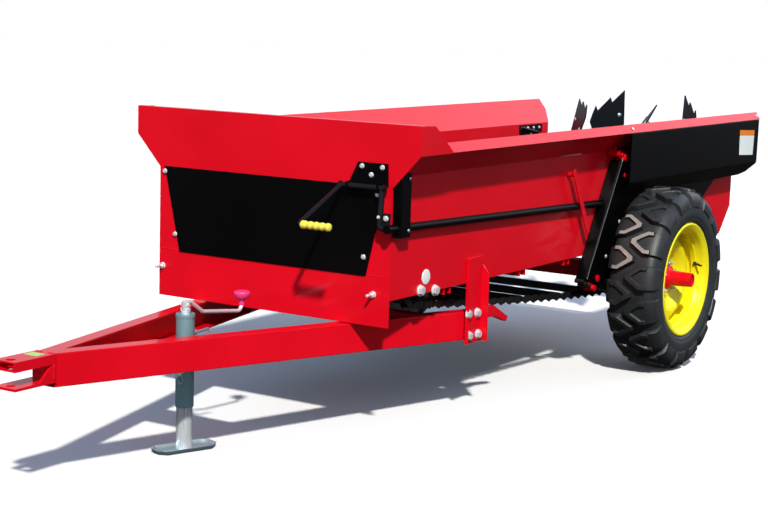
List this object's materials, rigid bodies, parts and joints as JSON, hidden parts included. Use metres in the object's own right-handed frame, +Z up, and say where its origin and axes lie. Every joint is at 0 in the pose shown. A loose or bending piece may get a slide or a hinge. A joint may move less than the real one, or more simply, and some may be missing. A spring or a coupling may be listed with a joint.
{
  "type": "manure spreader",
  "caption": "Towed ground-driven spreader box on two farm wheels, with an A-shaped tongue, screw jack, chain apron and a paddle beater at the open rear.",
  "frame": {"origin": "middle of the footprint, on the ground", "axes": "+Z up, +Y to the machine's rear, +X to its left side as seen when facing forwards"},
  "size_m": [1.48, 3.988, 1.0239],
  "materials": {
    "red_paint": "gloss",
    "black_paint": "satin",
    "beater_paint": "satin",
    "rim_yellow": "gloss",
    "tyre": "matte",
    "zinc_steel": "satin",
    "knob_red": "matte",
    "grip_yellow": "matte",
    "chain_steel": "matte",
    "floor_board": "matte"
  },
  "bodies": {
    "chassis": {"apron_chain_left": "chain_steel", "apron_chain_right": "chain_steel", "apron_drive_shaft": "chain_steel", "apron_slats": "chain_steel", "axle": "red_paint", "axle_brackets": "red_paint", "beater_bearing_left": "black_paint", "beater_bearing_right": "black_paint", "control_tube": "black_paint", "cross_sills": "red_paint", "drive_case_left": "black_paint", "drive_case_right": "black_paint", "floor": "floor_board", "front_baffle": "red_paint", "front_cover": "black_paint", "front_panel": "red_paint", "guide_post": "black_paint", "hand_lever": "black_paint", "hitch": "red_paint", "idler_shaft": "chain_steel", "jack_crank": "zinc_steel", "jack_knob": "knob_red", "jack_plate": "red_paint", "jack_sleeve": "zinc_steel", "lever_bracket": "black_paint", "lever_grip": "grip_yellow", "rear_shield_left": "black_paint", "rear_shield_right": "black_paint", "shift_rod": "red_paint", "side_wall_left": "red_paint", "side_wall_right": "red_paint", "take_up_left": "black_paint", "take_up_right": "black_paint", "tongue_beam_left": "red_paint", "tongue_beam_right": "red_paint", "tongue_cross_tube": "red_paint", "tongue_heel_left": "red_paint", "tongue_heel_right": "red_paint", "upright_left": "red_paint", "upright_right": "red_paint"},
    "wheel_left": {"tyre_left": "tyre", "rim_left": "rim_yellow", "hub_left": "red_paint"},
    "wheel_right": {"tyre_right": "tyre", "rim_right": "rim_yellow", "hub_right": "red_paint"},
    "beater": {"beater": "beater_paint"},
    "jack_leg": {"jack_leg": "zinc_steel", "jack_foot": "zinc_steel"}
  },
  "joints": [
    {"name": "wheel_left_spin", "type": "hinge", "parent": "chassis", "child": "wheel_left", "pos_m": [0.628, 0.882, 0.351], "axis": [1, 0, 0], "continuous": true},
    {"name": "wheel_right_spin", "type": "hinge", "parent": "chassis", "child": "wheel_right", "pos_m": [-0.628, 0.882, 0.351], "axis": [1, 0, 0], "continuous": true},
    {"name": "beater_spin", "type": "hinge", "parent": "chassis", "child": "beater", "pos_m": [0, 1.609, 0.748], "axis": [1, 0, 0], "continuous": true},
    {"name": "jack_slide", "type": "slide", "parent": "chassis", "child": "jack_leg", "axis": [0, 0, 1], "range_m": [-0.1, 0.105]}
  ]
}
